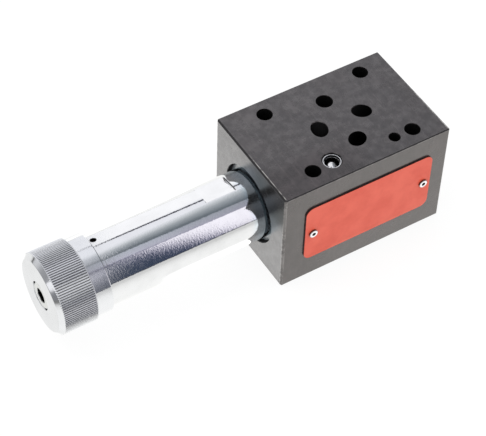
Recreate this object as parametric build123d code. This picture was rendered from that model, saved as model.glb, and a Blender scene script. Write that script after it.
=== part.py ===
from build123d import *
import os
from math import cos, pi, sin

# Hydraulic sandwich valve: a spring-loaded pressure reducing valve in a ported block, with a turned
# adjuster sleeve and a knurled knob on its left side.
# All sizes are in millimetres. X runs along the block, away from the knob. Y runs from the plate side
# to the back. Z is up. The origin is the centre of the port pattern, on the lower mounting face.

# Block
block_left = 35.8           # pattern centre to the sleeve side
block_right = 31.7          # pattern centre to the gauge side
block_width = 44.7
block_height = 44.5
edge_break = 0.35
sleeve_side_bevel = 0.6     # wider bevel around the left side
bore_height = 21.95         # main bore above the lower face
bore_y = 0.2                # main bore behind the middle of the block

# Port pattern of the two mounting faces, measured from the first bolt hole, y towards the plate side
pattern_x = 40.5
pattern_y = 31.75
bolt_holes = [(0.0, 0.0), (pattern_x, -0.75), (pattern_x, pattern_y), (0.0, 31.0)]
port_holes = {"p": (21.5, 25.9), "a": (12.7, 15.5), "t": (21.5, 5.1), "b": (30.2, 15.5)}
locating_hole = (33.0, pattern_y)
bolt_hole_d = 5.8
port_d = 6.2
locating_hole_d = 4.3
locating_hole_depth = 6.0

# Port seals in the lower face
seal_recess_d = 12.8
seal_recess_depth = 1.4
seal_width = 2.1
seal_play = 0.02

# Main bore
spotface_room = 2.0         # around the sleeve
spotface_depth = 1.8
tapped_d = 20.0
tapped_depth = 14.0
bore_d = 12.0
bore_reach = 14.5           # blind end of the bore, past the pattern centre
tank_groove_depth = 2.6
tank_groove_x = -6.0        # middle of the groove, from the pattern centre
tank_groove_width = 3.0

# Drilled passages
passage_depth_a = 18.7      # where the drilling from port A meets the front passage
front_passage_x = -11.83
front_passage_y = -14.06
front_passage_past = 1.3    # how far the front passage runs past the lower drilling's end
meeting_b_x = 22.5          # where the two drillings of port B meet
meeting_b_y = -7.1
outlet_x = 12.3             # where the upper drilling of port P ends, inside the main bore
outlet_before_axis = 4.05
outlet_above_axis = 2.6
inlet_x = 4.5               # where the lower drilling of port P ends, inside the main bore
inlet_before_axis = 3.6
inlet_below_axis = 2.8
tank_link_d = 3.0
drain_d = 2.2
drain_wall = 0.6            # between the drain drilling and the main bore

# Press-in plug of the front passage
plug_d = 7.0
plug_rim_depth = 0.64       # rim of the cup under the upper face
plug_mouth_bevel = 0.25
plug_rim_bevel = 0.25       # around the outside of the cup's rim
plug_rim_width = 0.28
plug_step_depth = 1.1       # wider upper part of the cup, under its rim
plug_floor = 0.9
plug_ball_d = 5.2
plug_ball_depth = 1.6       # top of the ball under the upper face

# Gauge port in the right side
gauge_y = 6.0
gauge_thread_d = 13.16
gauge_depth = 12.0
gauge_link_d = 4.0
gauge_link_y = 3.0
gauge_collar_d = 19.0
gauge_collar_thickness = 3.0
gauge_plug_length = 9.0
gauge_socket_af = 6.0
gauge_socket_depth = 5.0
gauge_seal_stretch = 0.52   # seal clear of the thread
gauge_collar_lip = 0.7      # collar outside the seal
gauge_seal_thickness = 1.3

# Name plate and its rivets
plate_length = 52.4
plate_height = 25.6
plate_thickness = 0.6
plate_corner_r = 3.0
plate_x = -0.95
plate_rise = 0.25           # middle of the plate above the block's middle
rivet_inset = 3.15
rivet_head_d = 3.5
rivet_head_height = 0.85
rivet_shank_d = 2.0
rivet_length = 2.6          # from under the head
rivet_eye_d = 1.1
rivet_eye_depth = 1.2

# Adjuster sleeve, lengths measured outwards from the block's left side
sleeve_d = 26.0
sleeve_length = 64.8
sleeve_chamfer = 0.5
spigot_room = 1.2           # between the spigot's end and the end of its thread
spigot_chamfer = 0.8
flat_depth = 0.8
flat_start = 6.65
flat_length = 11.95
flat_turn = 10.5            # degrees from upright towards the back
end_wall = 9.8              # threaded wall that carries the spindle
seal_bore_d = 15.0
seal_bore_margin = 0.8
chamber_d = 17.0
index_hole_d = 2.3
index_hole_depth = 3.0
index_hole_from_skirt = 1.85
index_hole_turn = 13.1

# Sleeve seal, in a pocket around the mouth of the thread
sleeve_seal_gap = 0.2       # between the spigot and the seal
sleeve_seal_cord = 1.78
seal_pocket_depth = 1.4     # the cord is squeezed to this
seal_pocket_play = 0.1

# Adjustment
adjust_travel = 5.0
end_gap = 0.2               # left free at each end stop
running_gap = 0.05          # radial clearance of what turns or slides in the sleeve
thread_gap = 0.03
spindle_thread_d = 12.0
piston_length = 5.0
spindle_groove_width = 2.0
spindle_seal_cord = 1.5
spindle_nose_d = 8.0
spindle_nose_length = 2.5
nose_room = 0.1
thrust_ball_d = 5.0
ball_gap = 0.1
ball_play = 0.05

# Knob
knurl_step = 0.75           # knurl above the skirt
knurl_depth = 0.2
knurl_teeth = 112
knurl_length = 12.5
knurl_bevel = 0.3
skirt_wall = 1.0
skirt_length = 6.0
skirt_overlap = 3.6         # skirt over the sleeve's end when fully out
skirt_gap = 0.25
skirt_chamfer = 0.3
knob_chamfer = 1.75
head_room = 0.3             # around the screw's head
head_sink = 0.2             # screw's head under the knob's face

# Knob screw, a socket head screw
screw_d = 6.0
screw_length = 14.0
screw_head_d = 10.0
screw_head_height = 6.0
screw_socket_af = 5.0
screw_socket_depth = 3.2
screw_clearance = 0.2
screw_chamfer = 0.4
tapping_margin = 1.0

# Spring and its seats
wire_d = 2.0
spring_room = 0.3           # between the spring and the seal bore
spring_turns = 8
spring_gap = 0.05
seat_lip = 1.5
adjuster_seat_flange = 4.5
adjuster_seat_gap = 0.3
pilot_gap = 0.3
pilot_length = 2.7
spool_seat_room = 0.7       # between the seat and the spring chamber
spool_seat_thickness = 2.5
spool_spigot_d = 5.0

# Spool
spool_gap = 0.03
spool_stand = 0.8           # end of the spool outside its bore, towards the spring
spool_travel = 3.5
spool_waist_d = 7.8
inlet_opening = 1.2
tank_overlap = 1.5
land_margin = 0.6
spool_nose_d = 6.0
spool_core_d = 3.0
cross_hole_d = 2.5
balance_groove_width = 0.6
balance_groove_depth = 0.4
balance_grooves = [3.5, 6.5, 9.5]   # from the spring end
spool_chamfer = 0.3

# Sizes that follow from those above
sleeve_seal_outer_d = tapped_d + 2 * (sleeve_seal_gap + sleeve_seal_cord)
seal_pocket_d = sleeve_seal_outer_d + 2 * seal_pocket_play
seal_pocket_floor = spotface_depth + seal_pocket_depth
spotface_d = sleeve_d + 2 * spotface_room
tank_groove_d = bore_d + 2 * tank_groove_depth
drain_offset = bore_d / 2 + drain_wall + drain_d / 2
spigot_length = tapped_depth - spigot_room
flat_af = sleeve_d - 2 * flat_depth
skirt_d = sleeve_d + 2 * (skirt_gap + skirt_wall)
knob_knurl_d = skirt_d + 2 * knurl_step
head_recess_d = screw_head_d + 2 * head_room
head_recess_depth = screw_head_height + head_sink
spring_outer_d = seal_bore_d - 2 * spring_room
spring_inner_d = spring_outer_d - 2 * wire_d
spool_seat_d = chamber_d - 2 * spool_seat_room
gauge_seal_inner_d = gauge_thread_d + 2 * gauge_seal_stretch
gauge_seal_outer_d = gauge_collar_d - 2 * gauge_collar_lip
plate_z = block_height / 2 + plate_rise
rivet_spacing = plate_length - 2 * rivet_inset
plug_length = plug_ball_depth + plug_ball_d + ball_play + plug_floor - plug_rim_depth
port_r = port_d / 2
overrun = 4.0               # how far a cut runs past the face that it starts from

# Places along the main bore, measured from the block's left side, positive into the block
bore_end = block_left + bore_reach
sleeve_end = -sleeve_length
wall_inner = sleeve_end + end_wall
piston_left = wall_inner + end_gap
piston_right = piston_left + piston_length
chamber_start = piston_right + adjust_travel + seal_bore_margin
ball_x = piston_right + ball_gap + thrust_ball_d / 2
adjuster_seat_left = ball_x - seat_lip
adjuster_seat_face = adjuster_seat_left + adjuster_seat_flange
spool_left = tapped_depth - spool_stand
spool_seat_face = spool_left - spool_seat_thickness
spool_right = bore_end - end_gap
skirt_start = -(sleeve_length - skirt_overlap)
knurl_start = skirt_start - skirt_length
knurl_end = knurl_start - knurl_length
knob_end = knurl_end - knob_chamfer
knob_floor = sleeve_end - adjust_travel - end_gap
recess_floor = knob_end + head_recess_depth
spindle_end = knob_floor - spindle_nose_length


def on_pattern(place):
    """Place on the port pattern turned into the block's own x and y."""
    return (place[0] - pattern_x / 2, pattern_y / 2 - place[1])


def on_main_axis(piece):
    """Move a piece from its own axis to the main bore, with x counted from the block's left side."""
    return Pos(-block_left, bore_y, bore_height) * piece


def turned(*outline):
    """Solid of revolution about X, from a closed outline of (x, radius) points."""
    return revolve(make_face(Polyline(*outline, close=True)), Axis.X)


def rod(diameter, start, end):
    """Cylinder along X between two places."""
    return Pos((start + end) / 2, 0, 0) * Rot(0, 90, 0) * Cylinder(diameter / 2, abs(end - start))


def upright(diameter, place, low, high):
    """Vertical cylinder at an (x, y) place."""
    height = high - low
    return Pos(place[0], place[1], low + height / 2) * Cylinder(diameter / 2, height)


def drilling(diameter, mouth, target, past_mouth=overrun):
    """Straight drilling from its mouth to a target point, run on outside the mouth."""
    start = Vector(*mouth)
    along = Vector(*target) - start
    length = along.length + past_mouth
    plane = Plane(origin=start - along.normalized() * past_mouth, z_dir=along)
    return plane * Cylinder(diameter / 2, length, align=(Align.CENTER, Align.CENTER, Align.MIN))


def hex_key_socket(across_flats, start, end):
    """Hexagon socket along X between two places."""
    hexagon = RegularPolygon(across_flats / 2, 6, major_radius=False)
    return extrude(Plane(origin=(start, 0, 0), z_dir=(1, 0, 0)) * hexagon, end - start)


def ring_seal(centre_r, width, height):
    """Seal ring about Z with a stadium section, standing on z = 0."""
    section = Plane.XZ * Pos(centre_r, height / 2) * SlotOverall(width, height)
    return revolve(section, Axis.Z)


def make_valve_body():
    """Machined block with the main bore, the port drillings, the bolt holes and the plug and gauge holes."""
    length = block_left + block_right
    block = Pos((block_right - block_left) / 2, 0, block_height / 2) * Box(length, block_width, block_height)
    block = chamfer(block.faces().sort_by(Axis.X)[0].edges(), sleeve_side_bevel)
    right_side = block.faces().sort_by(Axis.X)[-1]
    block = chamfer(right_side.edges() + block.edges().filter_by(Axis.X), edge_break)

    main_bore = rod(spotface_d, -overrun, spotface_depth)
    main_bore += rod(seal_pocket_d, 0, seal_pocket_floor)
    main_bore += rod(tapped_d, 0, tapped_depth)
    main_bore += rod(bore_d, 0, bore_end)
    groove = block_left + tank_groove_x
    main_bore += rod(tank_groove_d, groove - tank_groove_width / 2, groove + tank_groove_width / 2)
    main_bore += Pos(0, drain_offset, 0) * rod(drain_d, 0, groove)
    block -= on_main_axis(main_bore)

    for place in bolt_holes:
        block -= upright(bolt_hole_d, on_pattern(place), -overrun, block_height + overrun)
    pin = on_pattern(locating_hole)
    block -= upright(locating_hole_d, pin, block_height - locating_hole_depth, block_height + overrun)
    block -= upright(locating_hole_d, pin, -overrun, locating_hole_depth)

    for place in port_holes.values():
        block -= upright(seal_recess_d, on_pattern(place), -overrun, seal_recess_depth)
    block -= port_drillings()
    block -= plug_hole()
    block -= gauge_hole()
    for side in (-1, 1):
        rivet_x = plate_x + side * rivet_spacing / 2
        mouth = (rivet_x, -block_width / 2, plate_z)
        block -= drilling(rivet_shank_d, mouth, (rivet_x, rivet_length - block_width / 2, plate_z))
    return block


def port_drillings():
    """The slanted and upright drillings that start in the four ports of each face."""
    places = {name: on_pattern(place) for name, place in port_holes.items()}
    top = block_height
    turn = (front_passage_x, front_passage_y)
    cuts = upright(port_d, places["t"], -overrun, top + overrun)
    cuts += upright(port_d, turn, passage_depth_a - front_passage_past, top)
    cuts += drilling(port_d, (*places["a"], top), (*turn, top - passage_depth_a))
    cuts += drilling(port_d, (*places["a"], 0), (*turn, passage_depth_a))
    meeting = (meeting_b_x, meeting_b_y, top / 2)
    cuts += drilling(port_d, (*places["b"], top), meeting)
    cuts += drilling(port_d, (*places["b"], 0), meeting)
    cuts += Pos(*meeting) * Sphere(port_r)
    outlet = (outlet_x, bore_y - outlet_before_axis, bore_height + outlet_above_axis)
    cuts += drilling(port_d, (*places["p"], top), outlet)
    inlet = (inlet_x, bore_y - inlet_before_axis, bore_height - inlet_below_axis)
    cuts += drilling(port_d, (*places["p"], 0), inlet)
    groove_back = (tank_groove_x, bore_y + tank_groove_d / 3, bore_height - tank_groove_d / 3)
    cuts += drilling(tank_link_d, (*places["t"], seal_recess_depth), groove_back, 0)
    return cuts


def plug_hole():
    """Mouth of the front passage, widened for the press-in plug."""
    place = (front_passage_x, front_passage_y)
    hole = upright(plug_d, place, block_height - plug_rim_depth - plug_length, block_height + overrun)
    cone = Cone(plug_d / 2, plug_d / 2 + plug_mouth_bevel, plug_mouth_bevel)
    hole += Pos(place[0], place[1], block_height - plug_mouth_bevel / 2) * cone
    return hole


def gauge_hole():
    """Threaded gauge port in the right side and its link to the outlet end of the main bore."""
    hole = Pos(block_right, gauge_y, bore_height) * rod(gauge_thread_d, -gauge_depth, overrun)
    link = Pos(0, gauge_link_y, bore_height) * rod(gauge_link_d, bore_reach - 1, block_right - gauge_depth)
    return hole + link


def make_adjuster_sleeve():
    """Spring housing: a turned sleeve with a threaded spigot, two spanner flats and an index hole."""
    body_r = sleeve_d / 2
    spigot_r = tapped_d / 2
    sleeve = turned(
        (sleeve_end, 0),
        (sleeve_end, body_r - sleeve_chamfer),
        (sleeve_end + sleeve_chamfer, body_r),
        (spotface_depth, body_r),
        (spotface_depth, spigot_r),
        (spigot_length - spigot_chamfer, spigot_r),
        (spigot_length, spigot_r - spigot_chamfer),
        (spigot_length, 0),
    )
    sleeve -= rod(spindle_thread_d, sleeve_end - 1, wall_inner + 1)
    sleeve -= rod(seal_bore_d, wall_inner, chamber_start + 1)
    sleeve -= rod(chamber_d, chamber_start, spigot_length + 1)

    flat_cut = Box(flat_length, sleeve_d, sleeve_d)
    flat_middle = -flat_start - flat_length / 2
    for side in (-1, 1):
        away = Pos(flat_middle, 0, side * (flat_af + sleeve_d) / 2)
        sleeve -= Rot(-flat_turn, 0, 0) * away * flat_cut

    index_x = skirt_start + index_hole_from_skirt
    index = Pos(index_x, 0, body_r) * Cylinder(index_hole_d / 2, 2 * index_hole_depth)
    sleeve -= Rot(-index_hole_turn, 0, 0) * index
    return on_main_axis(sleeve)


def make_sleeve_seal():
    """Ring seal squeezed in its pocket by the sleeve's shoulder."""
    centre_r = (sleeve_seal_outer_d - sleeve_seal_cord) / 2
    ring = Rot(0, 90, 0) * Torus(centre_r, sleeve_seal_cord / 2)
    ring = Pos((spotface_depth + seal_pocket_floor) / 2, 0, 0) * ring
    ring &= rod(2 * spotface_d, spotface_depth, seal_pocket_floor)
    return on_main_axis(ring)


def make_adjusting_spindle():
    """Threaded spindle with a sealed piston inside the sleeve and a nose that carries the knob."""
    thread_r = spindle_thread_d / 2 - thread_gap
    piston_r = seal_bore_d / 2 - running_gap
    nose_r = spindle_nose_d / 2
    groove_r = piston_r - spindle_seal_cord - seal_play
    groove_left = piston_left + (piston_length - spindle_groove_width) / 2
    groove_right = groove_left + spindle_groove_width
    spindle = turned(
        (spindle_end, 0),
        (spindle_end, nose_r),
        (knob_floor, nose_r),
        (knob_floor, thread_r),
        (piston_left, thread_r),
        (piston_left, piston_r),
        (groove_left, piston_r),
        (groove_left, groove_r),
        (groove_right, groove_r),
        (groove_right, piston_r),
        (piston_right, piston_r),
        (piston_right, 0),
    )
    tapped_end = recess_floor + screw_length + tapping_margin
    spindle -= rod(screw_d, spindle_end - 1, tapped_end)
    return on_main_axis(spindle)


def make_spindle_seal():
    """Ring seal in the groove of the spindle's piston."""
    cord_r = spindle_seal_cord / 2
    centre_r = seal_bore_d / 2 - running_gap - cord_r
    ring = Rot(0, 90, 0) * Torus(centre_r, cord_r)
    return on_main_axis(Pos(piston_left + piston_length / 2, 0, 0) * ring)


def knurl_prism(start, end):
    """Straight knurl: a prism whose outline runs in and out once for each tooth."""
    tip_r = knob_knurl_d / 2
    root_r = tip_r - knurl_depth
    step = pi / knurl_teeth
    outline = []
    for k in range(2 * knurl_teeth):
        radius = root_r if k % 2 else tip_r
        outline.append((radius * cos(k * step), radius * sin(k * step)))
    face = make_face(Polyline(*outline, close=True))
    return extrude(Plane(origin=(start, 0, 0), z_dir=(1, 0, 0)) * face, end - start)


def make_adjusting_knob():
    """Knob turned from bar: knurled grip, smooth skirt, screw recess and the seat for the spindle's nose."""
    tip_r = knob_knurl_d / 2
    skirt_r = skirt_d / 2
    envelope = turned(
        (knob_end, 0),
        (knob_end, tip_r - knob_chamfer),
        (knurl_end, tip_r),
        (knurl_start - knurl_bevel, tip_r),
        (knurl_start, tip_r - knurl_bevel),
        (knurl_start, 0),
    )
    grip = knurl_prism(knob_end, knurl_start) & envelope
    skirt = turned(
        (knurl_start, 0),
        (knurl_start, skirt_r),
        (skirt_start - skirt_chamfer, skirt_r),
        (skirt_start, skirt_r - skirt_chamfer),
        (skirt_start, 0),
    )
    knob = grip + skirt
    knob -= rod(sleeve_d + 2 * skirt_gap, knob_floor, skirt_start + 1)
    knob -= rod(spindle_nose_d, spindle_end - nose_room, knob_floor + 1)
    knob -= rod(screw_d + 2 * screw_clearance, knob_end, knob_floor)
    knob -= rod(head_recess_d, knob_end - 1, recess_floor)
    return on_main_axis(knob)


def make_knob_screw():
    """Socket head screw that holds the knob on the spindle."""
    head_r = screw_head_d / 2
    shank_r = screw_d / 2
    head_top = recess_floor - screw_head_height
    tip = recess_floor + screw_length
    screw = turned(
        (head_top, 0),
        (head_top, head_r - screw_chamfer),
        (head_top + screw_chamfer, head_r),
        (recess_floor, head_r),
        (recess_floor, shank_r),
        (tip - screw_chamfer, shank_r),
        (tip, shank_r - screw_chamfer),
        (tip, 0),
    )
    screw -= hex_key_socket(screw_socket_af, head_top - 1, head_top + screw_socket_depth)
    socket_r = screw_socket_af / 2
    screw -= turned(
        (head_top - 1, 0),
        (head_top - 1, socket_r + screw_chamfer + 1),
        (head_top + screw_chamfer, socket_r),
        (head_top + screw_chamfer, 0),
    )
    return on_main_axis(screw)


def make_thrust_ball():
    """Ball between the turning spindle and the spring seat."""
    return on_main_axis(Pos(ball_x, 0, 0) * Sphere(thrust_ball_d / 2))


def make_adjuster_spring_seat():
    """Spring seat on the knob side, pocketed for the ball, with a pilot inside the spring."""
    flange_r = seal_bore_d / 2 - adjuster_seat_gap
    pilot_r = spring_inner_d / 2 - pilot_gap
    pocket_d = thrust_ball_d + 2 * ball_play
    seat = turned(
        (adjuster_seat_left, 0),
        (adjuster_seat_left, flange_r),
        (adjuster_seat_face, flange_r),
        (adjuster_seat_face, pilot_r),
        (adjuster_seat_face + pilot_length, pilot_r),
        (adjuster_seat_face + pilot_length, 0),
    )
    seat -= rod(pocket_d, adjuster_seat_left - 1, ball_x + thrust_ball_d / 2 + ball_play)
    return on_main_axis(seat)


def make_spool_spring_seat():
    """Spring seat on the spool's end, with a pilot inside the spring."""
    flange_r = spool_seat_d / 2
    pilot_r = spring_inner_d / 2 - pilot_gap
    seat = turned(
        (spool_seat_face - pilot_length, 0),
        (spool_seat_face - pilot_length, pilot_r),
        (spool_seat_face, pilot_r),
        (spool_seat_face, flange_r),
        (spool_left, flange_r),
        (spool_left, 0),
    )
    seat -= rod(spool_spigot_d, spool_seat_face, spool_left + 1)
    return on_main_axis(seat)


def make_pressure_spring():
    """Compression spring with ground ends between the two seats."""
    start = adjuster_seat_face + spring_gap
    end = spool_seat_face - spring_gap
    length = end - start
    wire_r = wire_d / 2
    coil_r = spring_outer_d / 2 - wire_r
    pitch = length / spring_turns
    helix = Helix(pitch, length + wire_d, coil_r)
    section = Plane(origin=helix @ 0, z_dir=helix % 0) * Circle(wire_r)
    coil = sweep(section, path=helix, is_frenet=True)
    coil = Rot(0, 90, 0) * coil
    coil = Pos(start - wire_r, 0, 0) * coil
    coil &= rod(2 * spring_outer_d, start, end)
    return on_main_axis(coil)


def make_control_spool():
    """Spool with a metering waist, a hollow core to the outlet end and balancing grooves."""
    land_r = bore_d / 2 - spool_gap
    waist_r = spool_waist_d / 2
    nose_r = spool_nose_d / 2
    waist_left = block_left + tank_groove_x + tank_groove_width / 2 + tank_overlap
    waist_right = block_left + inlet_x - port_r + inlet_opening
    land_end = block_left + inlet_x + port_r + spool_travel + land_margin
    spigot_r = spool_spigot_d / 2
    spool = turned(
        (spool_seat_face, 0),
        (spool_seat_face, spigot_r),
        (spool_left, spigot_r),
        (spool_left, land_r - spool_chamfer),
        (spool_left + spool_chamfer, land_r),
        (waist_left, land_r),
        (waist_left, waist_r),
        (waist_right, waist_r),
        (waist_right, land_r),
        (land_end, land_r),
        (land_end, nose_r),
        (spool_right, nose_r),
        (spool_right, 0),
    )
    for place in balance_grooves:
        ring = rod(bore_d, spool_left + place, spool_left + place + balance_groove_width)
        ring -= rod(2 * (land_r - balance_groove_depth), spool_left, waist_left)
        spool -= ring
    core_end = (waist_left + waist_right) / 2
    spool -= rod(spool_core_d, core_end, spool_right + 1)
    spool -= Pos(core_end + spool_core_d / 2, 0, 0) * Cylinder(cross_hole_d / 2, bore_d)
    return on_main_axis(spool)


def make_channel_plug_cup():
    """Press-in cup that closes the front passage."""
    rim_z = block_height - plug_rim_depth
    place = (front_passage_x, front_passage_y)
    cup = upright(plug_d, place, rim_z - plug_length, rim_z)
    cup = chamfer(cup.edges().group_by(Axis.Z)[-1], plug_rim_bevel)
    cup -= upright(plug_ball_d + 2 * seal_play, place, rim_z - plug_length + plug_floor, rim_z + 1)
    mouth_d = plug_d - 2 * (plug_rim_bevel + plug_rim_width)
    cup -= upright(mouth_d, place, rim_z - plug_step_depth, rim_z + 1)
    return cup


def make_channel_plug_ball():
    """Ball pressed into the cup."""
    ball_z = block_height - plug_ball_depth - plug_ball_d / 2
    return Pos(front_passage_x, front_passage_y, ball_z) * Sphere(plug_ball_d / 2)


def make_gauge_plug():
    """Socket plug of the gauge port, with a collar and a groove for its seal."""
    collar_r = gauge_collar_d / 2
    thread_r = gauge_thread_d / 2
    plug = turned(
        (-gauge_plug_length, 0),
        (-gauge_plug_length, thread_r - edge_break),
        (edge_break - gauge_plug_length, thread_r),
        (0, thread_r),
        (0, collar_r),
        (gauge_collar_thickness - edge_break, collar_r),
        (gauge_collar_thickness, collar_r - edge_break),
        (gauge_collar_thickness, 0),
    )
    plug -= gauge_seal_ring(0)
    socket_floor = gauge_collar_thickness - gauge_socket_depth
    plug -= hex_key_socket(gauge_socket_af, socket_floor, gauge_collar_thickness + 1)
    return Pos(block_right, gauge_y, bore_height) * plug


def gauge_seal_ring(play):
    """Flat ring under the plug's collar, smaller than its groove by the given play."""
    ring = rod(gauge_seal_outer_d - 2 * play, 0, gauge_seal_thickness - play)
    return ring - rod(gauge_seal_inner_d + 2 * play, -1, gauge_seal_thickness + 1)


def make_gauge_plug_seal():
    """Seal of the gauge plug."""
    return Pos(block_right, gauge_y, bore_height) * gauge_seal_ring(seal_play)


def make_port_seal(name):
    """Ring seal in the recess of one port of the lower face, as squeezed flush with the face."""
    outer_r = seal_recess_d / 2 - seal_play
    seal = ring_seal(outer_r - seal_width / 2, seal_width, seal_recess_depth)
    x, y = on_pattern(port_holes[name])
    return Pos(x, y, 0) * seal


def make_name_plate():
    """Bare plate with rounded corners and two rivet holes on the front of the block."""
    outline = RectangleRounded(plate_length, plate_height, plate_corner_r)
    for side in (-1, 1):
        outline -= Pos(side * rivet_spacing / 2, 0) * Circle(rivet_shank_d / 2)
    face = Plane(origin=(plate_x, -block_width / 2, plate_z), x_dir=(1, 0, 0), z_dir=(0, -1, 0))
    return extrude(face * outline, plate_thickness)


def make_plate_rivets():
    """Two round-head drive rivets with an eye in the head."""
    head_r = rivet_head_d / 2
    cap_r = (head_r ** 2 + rivet_head_height ** 2) / (2 * rivet_head_height)
    under_head = block_width / 2 + plate_thickness
    rivets = []
    for side in (-1, 1):
        head = Pos(0, 0, rivet_head_height - cap_r) * Sphere(cap_r)
        head &= Pos(0, 0, rivet_head_height / 2) * Cylinder(head_r, rivet_head_height)
        shank = Pos(0, 0, -rivet_length / 2) * Cylinder(rivet_shank_d / 2, rivet_length)
        eye = Pos(0, 0, rivet_head_height) * Cylinder(rivet_eye_d / 2, 2 * rivet_eye_depth)
        rivet = head + shank - eye
        place = (plate_x + side * rivet_spacing / 2, -under_head, plate_z)
        plane = Plane(origin=place, x_dir=(1, 0, 0), z_dir=(0, -1, 0))
        rivets.append(plane * rivet)
    return Compound(children=rivets)


pieces = {
    "valve_body": make_valve_body(),
    "adjuster_sleeve": make_adjuster_sleeve(),
    "sleeve_seal": make_sleeve_seal(),
    "adjusting_spindle": make_adjusting_spindle(),
    "spindle_seal": make_spindle_seal(),
    "adjusting_knob": make_adjusting_knob(),
    "knob_screw": make_knob_screw(),
    "thrust_ball": make_thrust_ball(),
    "adjuster_spring_seat": make_adjuster_spring_seat(),
    "pressure_spring": make_pressure_spring(),
    "spool_spring_seat": make_spool_spring_seat(),
    "control_spool": make_control_spool(),
    "channel_plug_cup": make_channel_plug_cup(),
    "channel_plug_ball": make_channel_plug_ball(),
    "gauge_plug": make_gauge_plug(),
    "gauge_plug_seal": make_gauge_plug_seal(),
    "name_plate": make_name_plate(),
    "plate_rivets": make_plate_rivets(),
}
for port in port_holes:
    pieces["port_seal_" + port] = make_port_seal(port)

os.makedirs("parts", exist_ok=True)
for name, piece in pieces.items():
    export_step(piece, "parts/" + name + ".step")
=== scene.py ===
from functools import partial
from math import cos, pi, radians, sin

import bmesh
import bpy
import numpy as np
from bpy.props import BoolProperty, FloatProperty, FloatVectorProperty, IntProperty, PointerProperty
from mathutils import Matrix, Vector


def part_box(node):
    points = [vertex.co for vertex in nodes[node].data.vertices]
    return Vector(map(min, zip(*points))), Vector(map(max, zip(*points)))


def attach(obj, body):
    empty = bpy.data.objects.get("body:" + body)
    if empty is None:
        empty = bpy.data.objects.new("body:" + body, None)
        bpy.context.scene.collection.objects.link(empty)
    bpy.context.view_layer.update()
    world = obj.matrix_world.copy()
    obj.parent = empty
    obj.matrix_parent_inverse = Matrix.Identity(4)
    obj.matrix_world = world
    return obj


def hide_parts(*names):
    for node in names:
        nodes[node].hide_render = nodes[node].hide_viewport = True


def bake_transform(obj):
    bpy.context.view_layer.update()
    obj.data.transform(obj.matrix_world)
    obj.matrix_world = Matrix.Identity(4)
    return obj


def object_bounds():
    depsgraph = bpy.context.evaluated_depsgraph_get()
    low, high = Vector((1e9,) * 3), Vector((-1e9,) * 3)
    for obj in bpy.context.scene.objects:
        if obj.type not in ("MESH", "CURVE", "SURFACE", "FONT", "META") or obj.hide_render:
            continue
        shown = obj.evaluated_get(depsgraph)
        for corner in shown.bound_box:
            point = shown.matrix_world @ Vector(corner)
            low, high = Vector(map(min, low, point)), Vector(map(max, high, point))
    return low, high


bl_info = {
    "name": "Hydraulic sandwich valve",
    "version": (1, 0, 0),
    "blender": (4, 5, 0),
    "location": "3D View > Sidebar > Valve",
    "description": "Finishes and studio for a ported valve block with a turned adjuster",
    "category": "Object",
}

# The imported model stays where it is. All sizes here are in metres, in its frame.
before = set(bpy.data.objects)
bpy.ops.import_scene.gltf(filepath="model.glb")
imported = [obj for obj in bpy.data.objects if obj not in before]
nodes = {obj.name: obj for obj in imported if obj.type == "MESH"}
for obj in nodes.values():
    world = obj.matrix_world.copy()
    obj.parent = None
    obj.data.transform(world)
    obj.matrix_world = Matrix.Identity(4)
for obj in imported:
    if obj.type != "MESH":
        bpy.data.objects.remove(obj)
cad_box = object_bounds()

MM = 0.001
block_low, block_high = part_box("valve_body")
sleeve_low, sleeve_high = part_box("adjuster_sleeve")
knob_low, knob_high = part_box("adjusting_knob")
plate_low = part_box("name_plate")[0]
axis_y = (knob_low.y + knob_high.y) / 2
axis_z = (knob_low.z + knob_high.z) / 2
side_x = block_low.x


def setting(name, description, default, kind=FloatProperty, **more):
    """One value of the sidebar."""
    return kind(name=name, description=description, default=default, **more)


def angle_property(name, description, default):
    """An angle, given and shown in degrees and kept in radians."""
    return setting(name, description, radians(default), subtype="ANGLE")


# A length in metres, a number from 0 to 1, and a linear colour
length_property = partial(setting, subtype="DISTANCE", unit="LENGTH")
share_property = partial(setting, subtype="FACTOR", min=0, max=1)
colour_property = partial(setting, kind=FloatVectorProperty, subtype="COLOR", min=0, max=1)


class BlockSettings(bpy.types.PropertyGroup):
    """Finish of the ported block."""

    colour: colour_property("Phosphate colour", "Dark coating of the block", (0.023, 0.0205, 0.0215))
    worn_colour: colour_property("Worn colour", "Coating where it is rubbed thin", (0.076, 0.064, 0.067))
    # The light lines beside the edges are partly rubbed steel and partly a painted highlight
    bare_and_highlight_colour: colour_property("Bare colour", "Steel that shows beside the edges", (0.42, 0.405, 0.39))
    roughness: share_property("Roughness", "Gloss of the coating", 0.24)
    bevel: length_property("Bevel", "Bevel of the block's edges", 0.35 * MM)
    side_bevel: length_property("Side bevel", "Bevel around the sleeve's side", 0.6 * MM)
    edge_wear_and_highlight: length_property("Edge wear", "Width of the rubbed line beside the bevels", 0.40 * MM)


class SleeveSettings(bpy.types.PropertyGroup):
    """Turned sleeve of the adjuster."""

    columns: IntProperty(name="Columns", description="Faces round the sleeve", default=360, min=48)
    corner: length_property("Corner radius", "Rounding of the turned corners", 0.12 * MM)
    seat_depth: length_property("Seat depth", "How deep the shoulder sits in the block", 1.8 * MM)
    flat_depth: length_property("Flat depth", "How deep the spanner flats are cut", 0.8 * MM)
    flat_start: length_property("Flat start", "Distance of the flats from the block", 6.65 * MM)
    flat_length: length_property("Flat length", "Length of the flats along the sleeve", 11.95 * MM)
    flat_turn: angle_property("Flat turn", "Turn of the flats from upright towards the back", 10.5)
    hole_radius: length_property("Index hole radius", "Radius of the index hole", 1.15 * MM)
    hole_depth: length_property("Index hole depth", "Depth of the index hole", 3.0 * MM)
    hole_distance: length_property("Index hole distance", "Hole's distance from the block", 59.35 * MM)
    hole_turn: angle_property("Index hole turn", "Turn of the hole from upright towards the back", 13.1)
    colour: colour_property("Zinc colour", "Bright zinc plate", (0.86, 0.865, 0.875))


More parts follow.
